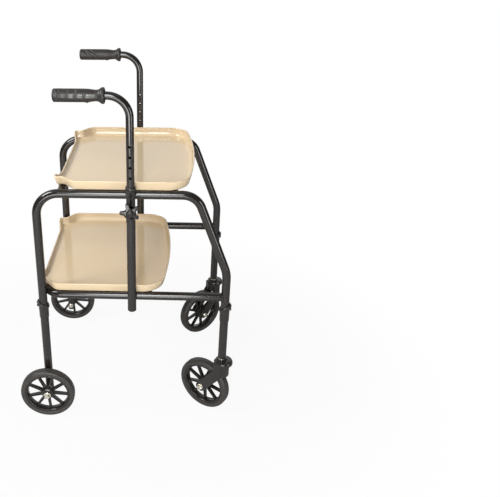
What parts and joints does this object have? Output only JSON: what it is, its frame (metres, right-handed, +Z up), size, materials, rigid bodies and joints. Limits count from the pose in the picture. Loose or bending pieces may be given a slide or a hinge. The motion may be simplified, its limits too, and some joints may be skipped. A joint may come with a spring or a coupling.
{
  "type": "walking trolley",
  "caption": "Household walking trolley: a bent tube frame on spoked wheels and swivel casters, with height-adjustable handles and two lift-off serving trays.",
  "frame": {"origin": "on the floor, under the middle of the overall box", "axes": "+X is the way the trolley is pushed, from the fixed wheels to the casters; +Y is the user's left; +Z is up"},
  "size_m": [0.584, 0.5508, 0.9328],
  "materials": {
    "bronze_powder_coat": "semi-gloss dark bronze powder coat on steel tube",
    "black_plastic": "fine-grained near-black moulded plastic",
    "grip_rubber": "matte moulded rubber with raised pads",
    "tyre_rubber": "smooth solid tyre, satin dark grey",
    "cream_plastic": "glossy cream moulding",
    "zinc": "bright zinc plate on steel"
  },
  "bodies": {
    "frame": {"lower_frame_tube": "bronze_powder_coat", "cross_tube_upper_rear": "bronze_powder_coat", "cross_tube_upper_front": "bronze_powder_coat", "cross_tube_lower_front": "bronze_powder_coat", "side_frame_left": "bronze_powder_coat", "handle_upright_left": "bronze_powder_coat", "upright_bush_left": "black_plastic", "knob_boss_left": "bronze_powder_coat", "leg_ferrule_rear_left": "black_plastic", "leg_ferrule_front_left": "black_plastic", "side_frame_right": "bronze_powder_coat", "handle_upright_right": "bronze_powder_coat", "upright_bush_right": "black_plastic", "knob_boss_right": "bronze_powder_coat", "leg_ferrule_rear_right": "black_plastic", "leg_ferrule_front_right": "black_plastic"},
    "handle_left": {"handle_tube_left": "bronze_powder_coat", "grip_left": "grip_rubber"},
    "knob_left": {"height_knob_left": "black_plastic", "knob_stud_left": "zinc"},
    "rear_leg_left": {"leg_extension_rear_left": "bronze_powder_coat", "rear_axle_bolt_left": "zinc", "rear_axle_nut_left": "zinc", "rear_wheel_sleeve_left": "zinc"},
    "rear_lock_left": {"lock_button_rear_left": "black_plastic"},
    "front_leg_left": {"leg_extension_front_left": "bronze_powder_coat", "caster_stem_left": "zinc", "caster_washer_left": "zinc"},
    "front_lock_left": {"lock_button_front_left": "black_plastic"},
    "rear_wheel_left": {"rear_rim_left": "black_plastic", "rear_tyre_left": "tyre_rubber"},
    "caster_left": {"caster_fork_left": "black_plastic", "caster_axle_bolt_left": "zinc", "caster_axle_nut_left": "zinc", "front_wheel_sleeve_left": "zinc"},
    "front_wheel_left": {"front_rim_left": "black_plastic", "front_tyre_left": "tyre_rubber"},
    "handle_right": {"handle_tube_right": "bronze_powder_coat", "grip_right": "grip_rubber"},
    "knob_right": {"height_knob_right": "black_plastic", "knob_stud_right": "zinc"},
    "rear_leg_right": {"leg_extension_rear_right": "bronze_powder_coat", "rear_axle_bolt_right": "zinc", "rear_axle_nut_right": "zinc", "rear_wheel_sleeve_right": "zinc"},
    "rear_lock_right": {"lock_button_rear_right": "black_plastic"},
    "front_leg_right": {"leg_extension_front_right": "bronze_powder_coat", "caster_stem_right": "zinc", "caster_washer_right": "zinc"},
    "front_lock_right": {"lock_button_front_right": "black_plastic"},
    "rear_wheel_right": {"rear_rim_right": "black_plastic", "rear_tyre_right": "tyre_rubber"},
    "caster_right": {"caster_fork_right": "black_plastic", "caster_axle_bolt_right": "zinc", "caster_axle_nut_right": "zinc", "front_wheel_sleeve_right": "zinc"},
    "front_wheel_right": {"front_rim_right": "black_plastic", "front_tyre_right": "tyre_rubber"},
    "upper_tray": {"upper_tray": "cream_plastic"},
    "lower_tray": {"lower_tray": "cream_plastic"}
  },
  "joints": [
    {"name": "handle_slide_left", "type": "slide", "parent": "frame", "child": "handle_left", "axis": [0, 0, 1], "range_m": [-0.156, 0.052]},
    {"name": "knob_turn_left", "type": "hinge", "parent": "frame", "child": "knob_left", "pos_m": [0.02004, 0.234, 0.64], "axis": [0, 1, 0], "range_deg": [0, 1080]},
    {"name": "rear_leg_slide_left", "type": "slide", "parent": "frame", "child": "rear_leg_left", "axis": [0, 0, -1], "range_m": [0, 0.052]},
    {"name": "rear_lock_pull_left", "type": "slide", "parent": "frame", "child": "rear_lock_left", "axis": [-1, 0, 0], "range_m": [0, 0.005], "stiffness_N_per_m": 800, "springref_m": -0.002},
    {"name": "front_leg_slide_left", "type": "slide", "parent": "frame", "child": "front_leg_left", "axis": [0, 0, -1], "range_m": [0, 0.052]},
    {"name": "front_lock_pull_left", "type": "slide", "parent": "frame", "child": "front_lock_left", "axis": [1, 0, 0], "range_m": [0, 0.005], "stiffness_N_per_m": 800, "springref_m": -0.002},
    {"name": "rear_wheel_spin_left", "type": "hinge", "parent": "rear_leg_left", "child": "rear_wheel_left", "pos_m": [-0.21696, 0.241, 0.075], "axis": [0, 1, 0], "continuous": true},
    {"name": "caster_swivel_left", "type": "hinge", "parent": "front_leg_left", "child": "caster_left", "pos_m": [0.26254, 0.2115, 0.18], "axis": [0, 0, 1], "continuous": true},
    {"name": "front_wheel_spin_left", "type": "hinge", "parent": "caster_left", "child": "front_wheel_left", "pos_m": [0.22077, 0.18225, 0.075], "axis": [-0.5736, 0.8192, 0], "continuous": true},
    {"name": "handle_slide_right", "type": "slide", "parent": "frame", "child": "handle_right", "axis": [0, 0, 1], "range_m": [-0.156, 0.052]},
    {"name": "knob_turn_right", "type": "hinge", "parent": "frame", "child": "knob_right", "pos_m": [0.02004, -0.234, 0.64], "axis": [0, -1, 0], "range_deg": [0, 1080]},
    {"name": "rear_leg_slide_right", "type": "slide", "parent": "frame", "child": "rear_leg_right", "axis": [0, 0, -1], "range_m": [0, 0.052]},
    {"name": "rear_lock_pull_right", "type": "slide", "parent": "frame", "child": "rear_lock_right", "axis": [-1, 0, 0], "range_m": [0, 0.005], "stiffness_N_per_m": 800, "springref_m": -0.002},
    {"name": "front_leg_slide_right", "type": "slide", "parent": "frame", "child": "front_leg_right", "axis": [0, 0, -1], "range_m": [0, 0.052]},
    {"name": "front_lock_pull_right", "type": "slide", "parent": "frame", "child": "front_lock_right", "axis": [1, 0, 0], "range_m": [0, 0.005], "stiffness_N_per_m": 800, "springref_m": -0.002},
    {"name": "rear_wheel_spin_right", "type": "hinge", "parent": "rear_leg_right", "child": "rear_wheel_right", "pos_m": [-0.21696, -0.241, 0.075], "axis": [0, 1, 0], "continuous": true},
    {"name": "caster_swivel_right", "type": "hinge", "parent": "front_leg_right", "child": "caster_right", "pos_m": [0.26254, -0.2115, 0.18], "axis": [0, 0, 1], "continuous": true},
    {"name": "front_wheel_spin_right", "type": "hinge", "parent": "caster_right", "child": "front_wheel_right", "pos_m": [0.22077, -0.18225, 0.075], "axis": [0.5736, 0.8192, 0], "continuous": true},
    {"name": "upper_tray_lift", "type": "slide", "parent": "frame", "child": "upper_tray", "axis": [0, 0, 1], "range_m": [0, 0.035]},
    {"name": "lower_tray_lift", "type": "slide", "parent": "frame", "child": "lower_tray", "axis": [0, 0, 1], "range_m": [0, 0.035]}
  ]
}
